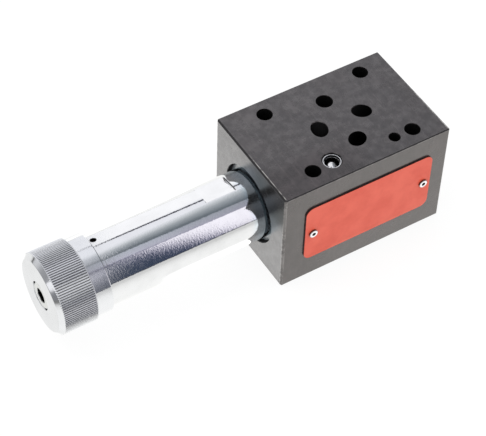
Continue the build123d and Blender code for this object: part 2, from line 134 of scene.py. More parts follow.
class KnobSettings(bpy.types.PropertyGroup):
    """Knurled knob and its screw."""

    teeth: IntProperty(name="Teeth", description="Teeth of the straight knurl", default=112, min=24)
    tooth_depth: length_property("Tooth depth", "Depth of the knurl", 0.20 * MM)
    skirt_step: length_property("Skirt step", "How much the skirt is thinner than the knurl", 0.75 * MM)
    skirt_length: length_property("Skirt length", "Length of the smooth skirt", 6.0 * MM)
    chamfer: length_property("Chamfer", "Chamfer of the knob's face", 1.75 * MM)
    corner: length_property("Corner radius", "Rounding of the turned corners", 0.1 * MM)
    colour: colour_property("Zinc colour", "Zinc plate of the knob", (0.85, 0.86, 0.88))
    screw_colour: colour_property("Screw colour", "Plated socket screw", (0.80, 0.81, 0.80))


class PlateSettings(bpy.types.PropertyGroup):
    """Bare plate and its rivets."""

    paint: colour_property("Paint", "Red paint of the plate's face", (0.98, 0.149, 0.086))
    edge: colour_property("Edge", "Dark cut edge of the plate", (0.03, 0.015, 0.014))
    head_radius: length_property("Rivet head radius", "Radius of the rivets' button heads", 1.62 * MM)
    eye_radius: length_property("Rivet eye radius", "Radius of the eye in each head", 0.70 * MM)
    rivet: colour_property("Rivet", "Bright rivet metal", (0.90, 0.90, 0.91))


class TrimSettings(bpy.types.PropertyGroup):
    """Plugs, seals and the works inside."""

    plug: colour_property("Plug steel", "Bright steel of the press-in plug", (0.94, 0.94, 0.95))
    rubber: colour_property("Rubber", "Seal rubber", (0.016, 0.016, 0.018))
    ground: colour_property("Ground steel", "Ground steel of the spool and seats", (0.62, 0.62, 0.63))
    spring: colour_property("Spring steel", "Oiled spring wire", (0.30, 0.29, 0.28))
    wire: length_property("Spring wire", "Diameter of the spring's wire", 2.0 * MM)
    turns: IntProperty(name="Turns", description="Turns of the spring", default=8, min=3)


class StageSettings(bpy.types.PropertyGroup):
    """Floor, lights and camera."""

    floor_size: length_property("Floor size", "Side of the square floor", 12.0)
    ambient: share_property("Ambient light", "Even light from all round", 0.83)
    lamp: share_property("Soft lamp", "Share of light that the soft lamp adds", 0.28)
    lens: FloatProperty(name="Lens", description="Focal length of the camera in mm", default=131.6, min=1)
    show_floor: BoolProperty(name="Floor", description="Keep the pale floor", default=True)


class Value:
    """A number that a node tree works out. Python's arithmetic on it adds math nodes to the tree.

    A comparison gives 1 where it holds and 0 elsewhere.
    """

    def __init__(self, tree, socket):
        self.tree = tree
        self.socket = socket

    def __add__(self, other):
        return self.tree.math("ADD", self, other)

    def __sub__(self, other):
        return self.tree.math("SUBTRACT", self, other)

    def __rsub__(self, other):
        return self.tree.math("SUBTRACT", other, self)

    def __mul__(self, other):
        return self.tree.math("MULTIPLY", self, other)

    def __lt__(self, other):
        return self.tree.math("LESS_THAN", self, other)

    def __abs__(self):
        return self.tree.math("ABSOLUTE", self)


class Tree:
    """Adds nodes to one node tree and links them. An input takes a number, colour, Value or socket."""

    def __init__(self, tree):
        self.tree = tree
        tree.nodes.clear()

    def add(self, kind, inputs=None, **settings):
        node = self.tree.nodes.new(kind)
        for key, value in settings.items():
            setattr(node, key, value)
        for socket, value in (inputs or {}).items():
            if isinstance(value, Value):
                value = value.socket
            if isinstance(value, bpy.types.NodeSocket):
                self.tree.links.new(value, node.inputs[socket])
            else:
                node.inputs[socket].default_value = value
        return node

    def math(self, operation, a, b=0.0):
        return Value(self, self.add("ShaderNodeMath", {0: a, 1: b}, operation=operation).outputs[0])

    def least(self, first, *others):
        """Smallest of some numbers."""
        for other in others:
            first = self.math("MINIMUM", first, other)
        return first

    def most(self, first, *others):
        """Largest of some numbers."""
        for other in others:
            first = self.math("MAXIMUM", first, other)
        return first

    def hypot(self, a, b):
        """Long side over two short ones, such as the distance from an axis."""
        return self.math("SQRT", self.math("POWER", a, 2.0) + self.math("POWER", b, 2.0))

    def vector(self, operation, a, b=(0, 0, 0)):
        return self.add("ShaderNodeVectorMath", {0: a, 1: b}, operation=operation).outputs[0]

    def place(self):
        """Position on the object, in metres."""
        return self.add("ShaderNodeTexCoord").outputs["Object"]

    def parts(self, vector):
        """The vector's x, y and z."""
        return [Value(self, socket) for socket in self.add("ShaderNodeSeparateXYZ", {0: vector}).outputs]

    def parts_from(self, origin):
        """The position's x, y and z, counted from the origin given."""
        return self.parts(self.vector("SUBTRACT", self.place(), origin))

    def noise(self, scale, detail=3.0, roughness=0.5, stretch=(1, 1, 1)):
        """Noise from 0 to 1. Scale is in features a metre; a small stretch draws it out along an axis."""
        drawn = self.vector("MULTIPLY", self.place(), stretch)
        inputs = {"Vector": drawn, "Scale": scale, "Detail": detail, "Roughness": roughness}
        return Value(self, self.add("ShaderNodeTexNoise", inputs).outputs["Fac"])

    def span(self, value, low, high, to_low=0.0, to_high=1.0, smooth=True):
        """Value carried from one range to another, held at both ends."""
        inputs = {"Value": value, "From Min": low, "From Max": high, "To Min": to_low, "To Max": to_high}
        kind = "SMOOTHSTEP" if smooth else "LINEAR"
        node = self.add("ShaderNodeMapRange", inputs, interpolation_type=kind, clamp=True)
        return Value(self, node.outputs[0])

    def mix(self, share, a, b):
        """Colour that goes from a to b with the share."""
        node = self.add("ShaderNodeMix", {0: share, 6: colour4(a), 7: colour4(b)}, data_type="RGBA")
        return node.outputs[2]

    def coats(self, colour, *coats):
        """Colour under coats of (share, colour), laid on one after another."""
        for share, coat in coats:
            colour = self.mix(share, colour, coat)
        return colour

    def ramp(self, value, stops):
        """Colour from a list of (place, colour), with places from 0 to 1."""
        node = self.add("ShaderNodeValToRGB", {0: value})
        elements = node.color_ramp.elements
        while len(elements) < len(stops):
            elements.new(0.5)
        for element, (place, colour) in zip(elements, stops):
            element.position = place
            element.color = colour4(colour)
        return node.outputs["Color"]

    def gradient(self, value, low, high, stops):
        """Colour from a list of (value, colour), with values from low to high."""
        share = self.span(value, low, high, smooth=False)
        return self.ramp(share, [((stop - low) / (high - low), colour) for stop, colour in stops])

    def shaders(self, share, a, b):
        """Shader that goes from a to b with the share."""
        return self.add("ShaderNodeMixShader", {0: share, 1: a.outputs[0], 2: b.outputs[0]})

    def bump(self, height, distance, below=None):
        inputs = {"Height": height, "Distance": distance, "Strength": 1.0}
        if below is not None:
            inputs["Normal"] = below
        return self.add("ShaderNodeBump", inputs).outputs["Normal"]


def colour4(value):
    """A colour as four numbers, or the socket that gives it."""
    if isinstance(value, bpy.types.NodeSocket):
        return value
    return (*value[:3], 1.0)


def times(factor, colour):
    """A colour made lighter or darker."""
    return [factor * channel for channel in colour]


def new_finish(name):
    """A material and its node tree."""
    material = bpy.data.materials.new(name)
    material.use_nodes = True
    return material, Tree(material.node_tree)


def finished(tree, material, colour, rough, shape=None, metallic=1.0, others=()):
    """Ends a material with one principled shader."""
    inputs = {"Base Color": colour, "Roughness": rough, "Metallic": metallic, **dict(others)}
    if shape is not None:
        inputs["Normal"] = shape
    shader = tree.add("ShaderNodeBsdfPrincipled", inputs)
    tree.add("ShaderNodeOutputMaterial", {"Surface": shader.outputs[0]})
    return material


def phosphated_steel(settings):
    """Dark phosphate coating: clouded, grained, streaked by the cutter, with painted shade on the upper
    bevels.

    a, b and c are the distances to the nearer of left and right, of front and back, and of bottom and top.
    off_face is 1 where the surface has left the block's six faces, as on a bevel or in a hole. past is how
    far a point on a face is from the bevel, and side is its depth behind the face with the sleeve.
    """
    material, tree = new_finish("phosphated_steel")
    place, span = tree.place(), tree.span
    clouds = tree.noise(85, 6, 0.62)
    mottles = span(tree.noise(330, 5, 0.68), 0.36, 0.68)
    patchy = span(tree.noise(420, 4, 0.7), 0.34, 0.62)
    specks = span(tree.noise(1900, 1, 0.4), 0.73, 0.78)
    streaks = tree.noise(1500, 2, 0.5, stretch=(1, 0.035, 0.035))
    grain = tree.noise(5200, 2)

    x, y, z = tree.parts(place)
    side = x - side_x
    middle, half = (block_low + block_high) / 2, (block_high - block_low) / 2
    off_middle = tree.vector("ABSOLUTE", tree.vector("SUBTRACT", place, middle))
    a, b, c = tree.parts(tree.vector("SUBTRACT", half, off_middle))
    less, more = tree.least(a, b), tree.most(a, b)
    off_face = span(tree.least(less, c), 0.01 * MM, 0.04 * MM)
    bevel = span(side, 0.9 * MM, 1.0 * MM, settings.side_bevel, settings.bevel)
    past = tree.most(less, tree.least(more, c)) - bevel
    on_bevel = span(past, 0.12 * MM, 0.0)
    facing = tree.vector("ABSOLUTE", tree.add("ShaderNodeNewGeometry").outputs["True Normal"])
    face_x, face_y, face_z = tree.parts(facing)

    # Where the coating is rubbed thin, and light lines beside the bevels that are partly rubbed steel and
    # partly a painted highlight
    by_top = c < more
    top_wear_and_highlight = face_z * (span(y, 4 * MM, -4 * MM) * (a < b))
    side_wear_and_highlight = face_x * (0.9 - by_top) + face_y * span(by_top, 0.0, 1.0, 0.35, 0.5)
    line = span(past, settings.edge_wear_and_highlight, 0.3 * settings.edge_wear_and_highlight) * (1.0 - off_face)
    upright = off_face * span(face_z, 0.3, 0.1) * on_bevel
    # rubbed: light lines that are partly rubbed steel and partly a painted highlight
    rubbed = tree.most(line * patchy * (top_wear_and_highlight + side_wear_and_highlight), upright * patchy * 0.3)
    worn = span(streaks, 0.48, 0.8) * 0.30 + span(clouds, 0.35, 0.75) * 0.25
    worn = worn + specks * 0.35 + mottles * 0.40

    # Painted shade on the bevels, in the holes and on the top face's front left, a painted dark reflection
    # on the left face's upper front, and painted light in the spotface round the sleeve
    # Painted shade: bevels that face up and down made darker, rougher and less glossy
    dark_bevel = off_face * span(face_z, 0.4, 0.6) * on_bevel
    low = (y - axis_y) * 0.55 - (z - axis_z) * 0.75
    in_shade = span(low, -2.5 * MM, -3.5 * MM)
    off_axis = tree.hypot(y - axis_y, z - axis_z)
    seat = tree.most(span(face_x, 0.8, 0.9), in_shade) * span(side, 1.95 * MM, 1.85 * MM)
    # Painted light: a lighter ring on the spotface's floor (ledge) and on the shaded outer part of its wall
    # (lip)
    ledge = span(off_axis, 14.62 * MM, 14.42 * MM) * span(side, 1.6 * MM, 1.7 * MM) * seat
    lip = span(side, 1.0 * MM, 0.8 * MM) * in_shade * span(off_axis, 15.3 * MM, 15.1 * MM)
    lip = lip * span(face_x, 0.5, 0.3)
    # Painted shade: holes and recesses made near black, rough and hardly glossy
    inside = span(tree.least(a, b, c + 0.18 * MM), 0.35 * MM, 0.6 * MM) * (1.0 - seat)
    # Painted dark reflection of the sleeve on the left face's upper front: darker colour and less gloss
    painted_sleeve_reflection = span(z, 26 * MM, 33 * MM) * span(y, 2 * MM, -7 * MM)
    painted_sleeve_reflection = painted_sleeve_reflection * span(face_x, 0.9, 0.95) * (side < 3 * MM)
    # Painted shade: less gloss on the top face towards the front left
    painted_top_front_shade = face_z * (span(y, -3 * MM, -13 * MM) * span(x, 5 * MM, -12 * MM))

    colour = tree.coats(
        settings.colour,
        (worn, settings.worn_colour),
        (rubbed, settings.bare_and_highlight_colour),
        (dark_bevel * 0.8, (0.006, 0.006, 0.007)),
        (painted_sleeve_reflection * 0.75, (0.008, 0.008, 0.007)),
        (inside, (0.002, 0.002, 0.002)),
        (ledge, (0.15, 0.175, 0.185)),
        (lip, (0.19, 0.20, 0.205)),
    )
    gloss = tree.coats(
        (0.80, 0.78, 0.79),
        (mottles, (1, 1, 1)),
        (face_y, (1.0, 0.94, 0.90)),
        (painted_top_front_shade, (0.57, 0.55, 0.56)),
        (painted_sleeve_reflection, (0.25, 0.25, 0.22)),
        (dark_bevel, (0.35, 0.35, 0.35)),
        (inside, (0.15, 0.15, 0.15)),
    )
    rough = span(clouds, 0.3, 0.7, settings.roughness - 0.04, settings.roughness + 0.06)
    rough = tree.most(rough, inside * 0.75, dark_bevel * 0.5)
    shape = tree.bump(streaks, 0.004 * MM, below=tree.bump(grain, 0.006 * MM))
    others = {"IOR": 2.0, "Specular Tint": gloss}
    return finished(tree, material, colour, rough, shape, metallic=0.0, others=others)


def sleeve_painted_shade(tree, settings):
    """Share of painted shade in the index hole and in the corners at the ends of the flats, and no added
    roughness.

    across is a point's distance from the nearer flat's plane.
    """
    x, y, z = tree.parts_from((side_x, axis_y, axis_z))
    outer = (sleeve_high.y - sleeve_low.y) / 2
    radius = tree.hypot(y, z)
    turn, hole = settings.hole_turn, settings.hole_radius
    from_hole = tree.hypot(x + settings.hole_distance, y * cos(turn) - z * sin(turn))
    deep = tree.span(radius, outer - 0.06 * MM, outer - 0.25 * MM)
    # Painted shade: the index hole and the corners at the flats' ends are darkened
    painted_shade = tree.span(from_hole, 1.02 * hole, 0.98 * hole) * deep
    wall = tree.span(radius, outer - 0.02 * MM, outer - 0.14 * MM, 0.0, 0.85)
    turn = settings.flat_turn
    across = abs(y * sin(turn) + z * cos(turn)) - (outer - settings.flat_depth)
    for end in (settings.flat_start, settings.flat_start + settings.flat_length):
        corner = tree.span(tree.hypot(x + end, across), 0.30 * MM, 0.18 * MM)
        painted_shade = tree.most(painted_shade, corner * wall)
    return painted_shade, 0.0


def knurl_painted_shade(tree, settings):
    """Share of painted shade in the knurl's roots, and how much rougher the grip and its rim are than the
    rest.
    """
    x, y, z = tree.parts_from((knob_high.x, axis_y, axis_z))
    tip, depth = (knob_high.y - knob_low.y) / 2, settings.tooth_depth
    step = -settings.skirt_length
    # Painted shade in the knurl's roots
    low = tree.span(tree.hypot(y, z), tip - 0.2 * depth, tip - 0.8 * depth)
    grip = tree.span(x, step - 0.38 * MM, step - 0.42 * MM)
    rim = tree.span(x, step + 0.1 * MM, step) - grip
    face = tree.span(x + (knob_high.x - knob_low.x), settings.chamfer, 1.1 * settings.chamfer)
    return low * grip * (face * 0.75), grip * face * 0.08 + rim * 0.35


def zinc_plate(name, colour, rough_low, rough_high, mottle, lines, painted_shade_of):
    """Bright zinc plate: fine turning lines round the axis, a leathery mottle, small darker specks and
    painted shade.

    The last argument gives the share of painted shade and the added roughness. Beside the block the plate
    turns bluer.
    """
    material, tree = new_finish(name)
    painted_shade, rougher = painted_shade_of(tree)
    turning = tree.noise(5200, 2, 0.6, stretch=(1, 0.02, 0.02))
    leather = tree.noise(1800, 2, 0.5)
    clouds = tree.span(tree.noise(130, 4, 0.6), 0.3, 0.75)
    specks = tree.span(tree.noise(900, 2, 0.5), 0.70, 0.78)
    plate = tree.coats(colour, (clouds, times(0.93, colour)), (specks * 0.25, times(0.72, colour)))
    x = tree.parts(tree.place())[0]
    by_block = tree.span(x, side_x - 7 * MM, side_x - 2 * MM)
    plate = tree.vector("MULTIPLY", plate, tree.mix(by_block, (1, 1, 1), (0.82, 0.93, 1.0)))
    # Painted shade: the plate darkened to near black
    plate = tree.mix(painted_shade, plate, (0.012, 0.012, 0.013))
    rough = tree.span(tree.noise(700, 3, 0.6), 0.3, 0.75, rough_low, rough_high) + rougher
    rough = tree.most(rough, painted_shade * 0.6)
    shape = tree.bump(turning, lines, below=tree.bump(leather, mottle))
    return finished(tree, material, plate, rough, shape)


def plain_metal(name, colour, roughness, grain_depth, stretch=(1, 1, 1)):
    """Bare or plated steel with a fine grain that may be drawn out along an axis."""
    material, tree = new_finish(name)
    grain = tree.noise(4200, 3, 0.6, stretch=stretch)
    tint = tree.mix(tree.span(tree.noise(260, 4), 0.3, 0.7), colour, times(0.85, colour))
    rough = tree.span(grain, 0.25, 0.8, roughness * 0.8, roughness * 1.3)
    return finished(tree, material, tint, rough, tree.bump(grain, grain_depth))


def screw_steel(colour):
    """Plated steel of the knob's screw, with painted shade down its socket."""
    material, tree = new_finish("screw_steel")
    socket_radius, socket_depth = 3.0 * MM, 3.5 * MM
    x, y, z = tree.parts_from((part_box("knob_screw")[0].x, axis_y, axis_z))
    deep = tree.span(x, 0.05 * MM, 0.3 * MM) * tree.span(x, socket_depth + 0.3 * MM, socket_depth)
    socket = deep * tree.span(tree.hypot(y, z), socket_radius + 0.2 * MM, socket_radius)
    # Painted shade down the socket
    shade = tree.mix(socket, colour, (0.006, 0.007, 0.007))
    rough = tree.span(socket, 0.0, 1.0, 0.3, 0.6)
    shape = tree.bump(tree.noise(4200, 3, 0.6), 0.003 * MM)
    return finished(tree, material, shade, rough, shape)


def plug_steel(colour):
    """Bright steel of the cup's rim and step; the rest of the cup is painted near black as shade."""
    material, tree = new_finish("plug_steel")
    low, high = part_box("channel_plug_cup")
    rim_radius, step_depth = 3.18 * MM, 1.1 * MM
    x, y, z = tree.parts_from(((low.x + high.x) / 2, (low.y + high.y) / 2, high.z))
    rim = tree.span(tree.hypot(x, y), rim_radius + 0.06 * MM, rim_radius)
    rim = rim * tree.span(z, -0.10 * MM, -0.03 * MM)
    step = tree.span(abs(z + step_depth), 0.06 * MM, 0.03 * MM, 0.0, 0.8)
    # Painted shade: all of the cup but its rim and step
    dark = 1.0 - tree.most(rim, step)
    shade = tree.mix(dark, colour, (0.004, 0.004, 0.004))
    rough = tree.span(dark, 0.0, 0.9, 0.16, 0.5)
    shape = tree.bump(tree.noise(3200, 2, 0.5), 0.001 * MM)
    return finished(tree, material, shade, rough, shape)


def rivet_metal(settings):
    """Bright rivets with painted shade in the eye and on the side of the head."""
    material, tree = new_finish("rivet_metal")
    low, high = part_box("plate_rivets")
    across = (high.x - low.x) / 2 - (high.z - low.z) / 2
    x, _, z = tree.parts_from((low + high) / 2)
    radius = tree.hypot(abs(x) - across, z)
    # Painted shade: the eye near black and the side of the head dark
    eye = tree.span(radius, settings.eye_radius + 0.03 * MM, settings.eye_radius)
    side = tree.span(radius, settings.head_radius - 0.10 * MM, settings.head_radius - 0.03 * MM)
    colour = tree.coats(settings.rivet, (side, (0.16, 0.13, 0.12)), (eye, (0.004, 0.004, 0.004)))
    return finished(tree, material, colour, tree.span(eye, 0.0, 1.0, 0.16, 0.8))


def red_paint(settings):
    """Satin red paint on the plate's face; its cut edges are near black."""
    material, tree = new_finish("red_paint")
    clouds = tree.noise(150, 4, 0.55)
    grain = tree.noise(2600, 3, 0.6)
    red, green, blue = settings.paint
    deeper = (0.90 * red, 0.78 * green, 0.76 * blue)
    y = tree.parts(tree.place())[1]
    on_edge = tree.span(y, plate_low.y + 0.06 * MM, plate_low.y + 0.14 * MM)
    clouded = tree.span(clouds, 0.3, 0.75)
    colour = tree.coats(settings.paint, (clouded, deeper), (on_edge, settings.edge))
    rough = tree.span(clouds, 0.3, 0.7, 0.38, 0.46)
    return finished(tree, material, colour, rough, tree.bump(grain, 0.004 * MM), metallic=0.0)


def seal_rubber(colour):
    """Black seal rubber with a moulded grain."""
    material, tree = new_finish("seal_rubber")
    grain = tree.noise(3000, 3, 0.6)
    rough = tree.span(grain, 0.3, 0.7, 0.42, 0.6)
    shade = tree.mix(tree.span(grain, 0.3, 0.8), colour, times(1.6, colour))
    return finished(tree, material, shade, rough, tree.bump(grain, 0.01 * MM), metallic=0.0)


def smoothing_group(angle=radians(28)):
    """Geometry nodes that join a CAD node's loose triangles and shade it smooth between sharp edges."""
    name = "smooth_between_edges"
    if name in bpy.data.node_groups:
        return bpy.data.node_groups[name]
    group = bpy.data.node_groups.new(name, "GeometryNodeTree")
    for direction in ("INPUT", "OUTPUT"):
        group.interface.new_socket("Geometry", in_out=direction, socket_type="NodeSocketGeometry")
    tree = Tree(group)
    start = tree.add("NodeGroupInput")
    inputs = {"Geometry": start.outputs[0], "Distance": 0.002 * MM}
    joined = tree.add("GeometryNodeMergeByDistance", inputs)
    smooth = tree.add("GeometryNodeSetShadeSmooth", {"Geometry": joined.outputs[0]}, domain="FACE")
    bend = tree.add("GeometryNodeInputMeshEdgeAngle")
    sharp = tree.add("FunctionNodeCompare", {0: bend.outputs[0], 1: angle}, operation="GREATER_THAN")
    inputs = {"Geometry": smooth.outputs[0], "Selection": sharp.outputs[0], "Shade Smooth": False}
    edges = tree.add("GeometryNodeSetShadeSmooth", inputs, domain="EDGE")
    tree.add("NodeGroupOutput", {"Geometry": edges.outputs[0]})
    return group


def dress(node, material):
    """Gives a CAD node its finish and smooth shading."""
    piece = nodes[node]
    piece.data.materials.clear()
    piece.data.materials.append(material)
    modifier = piece.modifiers.new("smooth_between_edges", "NODES")
    modifier.node_group = smoothing_group()


def surface(name, points, material, body=None, sharp_angle=radians(30)):
    """Closed piece from a grid of points whose rows and columns both run round.

    points has the shape (rows, columns, 3). Face (i, j) joins the points (i, j), (i + 1, j),
    (i + 1, j + 1) and (i, j + 1), counted round. Faces without area are left out, and points that fall
    together are merged, which closes poles and steps. A piece that bends between two bodies has no body.
    """
    rows, columns = points.shape[:2]
    no_area, same_place = 1e-13, 0.0005 * MM
    i, j = np.meshgrid(np.arange(rows), np.arange(columns), indexing="ij")
    below, beside = (i + 1) % rows, (j + 1) % columns
    corners = (i * columns + j, below * columns + j, below * columns + beside, i * columns + beside)
    faces = np.stack(corners, -1).reshape(-1, 4)
    spots = points.reshape(-1, 3)
    a, b, c, d = (spots[faces[:, k]] for k in range(4))
    volume = np.sum(a * (np.cross(b, c) + np.cross(c, d)))
    faces = faces[np.linalg.norm(np.cross(c - a, d - b), axis=1) > no_area]
    if volume < 0:
        faces = faces[:, ::-1]
    mesh = bpy.data.meshes.new(name)
    mesh.from_pydata(spots, [], faces)
    work = bmesh.new()
    work.from_mesh(mesh)
    bmesh.ops.remove_doubles(work, verts=work.verts, dist=same_place)
    work.to_mesh(mesh)
    work.free()
    mesh.shade_smooth()
    mesh.set_sharp_from_angle(angle=sharp_angle)
    mesh.materials.append(material)
    piece = bpy.data.objects.new(name, mesh)
    bpy.context.scene.collection.objects.link(piece)
    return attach(piece, body) if body else piece


def rounded(corners, steps=5):
    """Outline of (x, radius) points with its corners rounded.

    corners has a row (x, radius, rounding) for each corner. With unit directions u to the corner before and
    w to the corner after, and s from 0 to 1, a corner p becomes the curve
    (1 - s)^2 (p + rounding u) + 2 s (1 - s) p + s^2 (p + rounding w). A point half as far again on either
    side keeps the faces beside it evenly shaded.
    """
    corners = np.array(corners, float)
    spots, size = corners[:, :2], corners[:, 2:]
    edges = (np.roll(spots, way, 0) - spots for way in (1, -1))
    before, after = (size * edge / np.linalg.norm(edge, axis=1, keepdims=True) for edge in edges)
    spots, before, after = spots[:, None], before[:, None], after[:, None]
    s = np.linspace(0, 1, steps)[None, :, None]
    curve = (1 - s) ** 2 * (spots + before) + 2 * s * (1 - s) * spots + s ** 2 * (spots + after)
    return np.concatenate([spots + 1.5 * before, curve, spots + 1.5 * after], 1).reshape(-1, 2)


def about_axis(x, radius, angle):
    """Points at a radius from the adjuster's axis, with angle counted from upright towards the back."""
    return np.stack([x, axis_y + radius * np.sin(angle), axis_z + radius * np.cos(angle)], -1)


def sleeve_points(settings):
    """Turned sleeve with two spanner flats and an index hole.

    The surface is about_axis(x, min(r, h / |cos(a - turn)|), a), where (x, r) runs along the closed
    outline, a runs round, and the limit h / |cos| of the flats holds on the rows between the flats' ends.
    """
    outer = (sleeve_high.y - sleeve_low.y) / 2
    spigot, chamber, seal_bore, thread = 10.0 * MM, 8.5 * MM, 7.5 * MM, 6.0 * MM
    end, spigot_end = sleeve_low.x, sleeve_high.x
    wall_inner, chamber_start = end + 9.8 * MM, end + 20.8 * MM
    end_chamfer, spigot_chamfer = 0.5 * MM, 0.8 * MM
    shoulder = side_x + settings.seat_depth
    hole_x = side_x - settings.hole_distance
    count = settings.columns
    cell = outer * 2 * pi / count
    ring, corner = 5, settings.corner
    window = ring + 3
    turned = rounded([
        (shoulder, outer, corner),
        (shoulder, spigot, 0.3 * corner),
        (spigot_end - spigot_chamfer, spigot, corner),
        (spigot_end, spigot - spigot_chamfer, corner),
        (spigot_end, chamber, corner),
        (chamber_start, chamber, corner),
        (chamber_start, seal_bore, corner),
        (wall_inner, seal_bore, corner),
        (wall_inner, thread, corner),
        (end, thread, corner),
        (end, outer - end_chamfer, corner),
        (end + end_chamfer, outer, corner),
    ])
    hole_rows = hole_x + cell * np.arange(-window, window + 1)
    flat_near = side_x - settings.flat_start
    flat_far = flat_near - settings.flat_length
    straight = np.concatenate([hole_rows, [flat_far, flat_far, flat_near, flat_near]])
    x = np.concatenate([turned[:, 0], straight])
    radius = np.concatenate([turned[:, 1], np.full(len(straight), outer)])
    is_flat = np.zeros(len(x), bool)
    is_flat[[-3, -2]] = True

    angle = settings.hole_turn + (np.arange(count) - count // 2) * 2 * pi / count
    height = outer - settings.flat_depth
    half_width = np.arccos(height / outer)
    for edge in (-half_width, half_width, pi - half_width, pi + half_width):
        off = (angle - settings.flat_turn - edge + pi) % (2 * pi) - pi
        nearest = np.argmin(np.abs(off))
        angle[nearest] -= off[nearest]

    x, angle = np.meshgrid(x, angle, indexing="ij")
    radius = np.repeat(radius[:, None], count, 1)
    limit = height / np.maximum(np.abs(np.cos(angle - settings.flat_turn)), 1e-6)
    radius = np.where(is_flat[:, None], np.minimum(radius, limit), radius)

    first, left = len(turned), count // 2 - window
    patch = np.s_[first:first + 2 * window + 1, left:left + 2 * window + 1]
    dimple(x[patch], radius[patch], angle[patch], ring, cell, settings)
    return about_axis(x, radius, angle)


def dimple(x, radius, angle, ring, cell, settings):
    """Turns a square window of the sleeve's grid, given as three views, into a round blind hole.

    A grid point (u, v), counted in cells from the middle, lies on the square ring m = max(|u|, |v|). Its
    new place is (u, v) pulled to a circle: the circle's radius and the depth are piecewise linear in m.
    """
    window = len(x) // 2
    count = np.arange(-window, window + 1)
    u, v = np.meshgrid(count, count, indexing="ij")
    m = np.maximum(np.abs(u), np.abs(v)).astype(float)
    length = np.maximum(np.hypot(u, v), 1e-9)
    hole, depth = settings.hole_radius, settings.hole_depth
    circle = np.interp(m, [0, ring - 2, ring - 1, ring], [0, 0.97 * hole, hole, hole + 0.08 * MM])
    sunk = np.interp(m, [0, ring - 2, ring - 1, ring], [depth + 0.4 * MM, depth, 0.10 * MM, 0])
    square = np.clip((m - ring) / (window - ring), 0, 1)
    along = (1 - square) * circle * u / length + square * u * cell
    across = (1 - square) * circle * v / length + square * v * cell
    x[:] = x[window, window] + along
    angle[:] = angle[window, window] + across / radius
    radius -= sunk


def knob_points(settings):
    """Knurled knob with a smooth skirt, a bore over the sleeve and a recess for its screw.

    The surface is about_axis(x, min(r, tooth(a)), a), where (x, r) runs along the closed outline and
    tooth(a) goes from tip to root and back once for each tooth; the limit holds on the rows of the grip.
    """
    tip = (knob_high.y - knob_low.y) / 2
    face, skirt_end = knob_low.x, knob_high.x
    step = skirt_end - settings.skirt_length
    skirt, skirt_bore = tip - settings.skirt_step, 13.25 * MM
    corner, chamfer = settings.corner, settings.chamfer
    nose_seat, screw_hole, recess = 4.0 * MM, 3.2 * MM, 5.3 * MM
    bore_floor, seat_floor, recess_floor = face + 11.45 * MM, face + 8.85 * MM, face + 6.2 * MM
    inner = rounded([
        (step, skirt, 0.5 * corner),
        (skirt_end, skirt, 2.5 * corner),
        (skirt_end, skirt_bore, corner),
        (bore_floor, skirt_bore, corner),
        (bore_floor, nose_seat, corner),
        (seat_floor, nose_seat, corner),
        (seat_floor, screw_hole, corner),
        (recess_floor, screw_hole, corner),
        (recess_floor, recess, corner),
        (face, recess, 1.5 * corner),
        (face, tip - chamfer, 2 * corner),
        (face + 0.5 * chamfer, tip - 0.5 * chamfer, 0.0),
    ])
    # Rows behind the grip, as (x from the skirt's step, height over the tips) in mm
    rim = MM * np.array([[-0.38, -0.08], [-0.12, -0.08], [-0.05, -0.12], [0.0, -0.25]]) + [[step, tip]]
    slope = np.linspace(0.55, 1, 7)[:, None] * np.array([[chamfer, chamfer]]) + [[face, tip - chamfer]]
    outline = np.concatenate([inner, slope, [[step - 0.44 * MM, tip]], rim])
    place = np.arange(len(outline))
    on_grip = (place >= len(inner)) & (place < len(outline) - len(rim))

    # Points of one tooth: their places along the pitch, and their depths from tip to root
    shares = np.array([-0.07, 0.07, 0.26, 0.45, 0.55, 0.74])
    depths = np.array([0, 0, 0.5, 1, 1, 0.5])
    teeth = settings.teeth
    angle = ((np.arange(teeth)[:, None] + shares[None, :]) * 2 * pi / teeth).ravel()
    tooth = tip - settings.tooth_depth * np.tile(depths, teeth)
    x, angles = np.meshgrid(outline[:, 0], angle, indexing="ij")
    radius = np.repeat(outline[:, 1:], len(angle), 1)
    radius = np.where(on_grip[:, None], np.minimum(radius, tooth[None, :]), radius)
    return about_axis(x, radius, angles)


def spring_points(settings, first, last):
    """Part of a compression spring with ground ends; its wire's middle goes from first to last along X.

    The surface is about_axis(x, coil + w cos b, a), where the wire's middle m goes along X, the angle is
    a = -2 pi (m - low) / pitch, x = m + w sin b is held between the two ends, and w is the wire's radius,
    or nought on the closing rows.
    """
    low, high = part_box("pressure_spring")
    wire = settings.wire / 2
    coil = (high.y - low.y) / 2 - wire
    pitch = (high.x - low.x) / settings.turns
    rows_a_turn, sides = 24, 16
    rows = 2 + int(rows_a_turn * (last - first) / pitch)
    middle = np.concatenate([[first], np.linspace(first, last, rows), [last]])[:, None]
    thick = np.concatenate([[0.0], np.full(rows, wire), [0.0]])[:, None]
    round_wire = np.linspace(0, 2 * pi, sides, endpoint=False)[None, :]
    x = np.clip(middle + thick * np.sin(round_wire), low.x, high.x)
    angle = -2 * pi * (middle - low.x) / pitch + 0 * round_wire
    return about_axis(x, coil + thick * np.cos(round_wire), angle)


